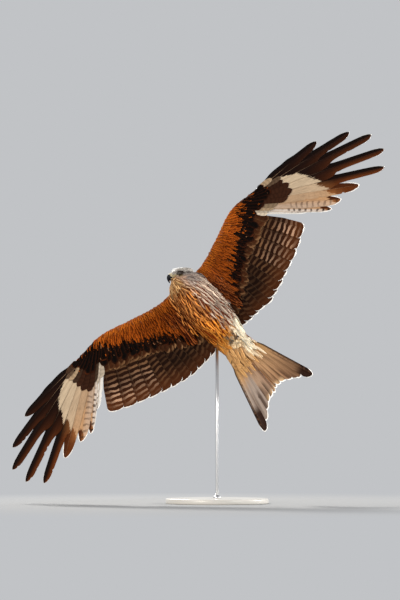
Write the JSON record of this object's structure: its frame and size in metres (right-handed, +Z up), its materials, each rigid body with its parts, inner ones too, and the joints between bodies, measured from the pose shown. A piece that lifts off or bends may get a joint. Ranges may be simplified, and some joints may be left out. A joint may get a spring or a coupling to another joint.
{
  "type": "display model of a flying red kite",
  "caption": "Life-size still model of a red kite in gliding flight, seen from below, banked on a flat round base with a steel rod.",
  "frame": {"origin": "centre of the underside of the stand's round base", "axes": "+Z up out of the base; the bird's belly and the undersides of its wings face -Y, its flight is towards -X and +Z"},
  "size_m": [1.2893, 0.4547, 1.289],
  "materials": {
    "body_feathers": "rufous contour feathers with dark shaft streaks and pale edges, matt",
    "head_feathers": "pale grey-white narrow feathers, finely streaked dark",
    "flight_feathers": "dark brown barred flight feathers with a pale window at the base of the outer ones",
    "tail_feathers": "pale rufous tail feathers, faintly barred, dark at the corners",
    "bill_horn": "blackish horn, yellow at the cere and gape",
    "eye_glass": "glossy amber eye with a black pupil",
    "leg_scales": "yellow scaled skin, black claws",
    "stand_lacquer": "satin off-white lacquer",
    "stand_steel": "satin steel rod"
  },
  "bodies": {
    "root": {"torso": "body_feathers", "neck": "body_feathers", "head": "head_feathers", "beak_upper": "bill_horn", "beak_lower": "bill_horn", "eye_left": "eye_glass", "eye_right": "eye_glass", "wing_left_arm": "flight_feathers", "wing_left_hand": "flight_feathers", "wing_right_arm": "flight_feathers", "wing_right_hand": "flight_feathers", "tail": "tail_feathers", "leg_left": "leg_scales", "leg_right": "leg_scales", "stand_base": "stand_lacquer", "stand_rod": "stand_steel"}
  },
  "joints": []
}
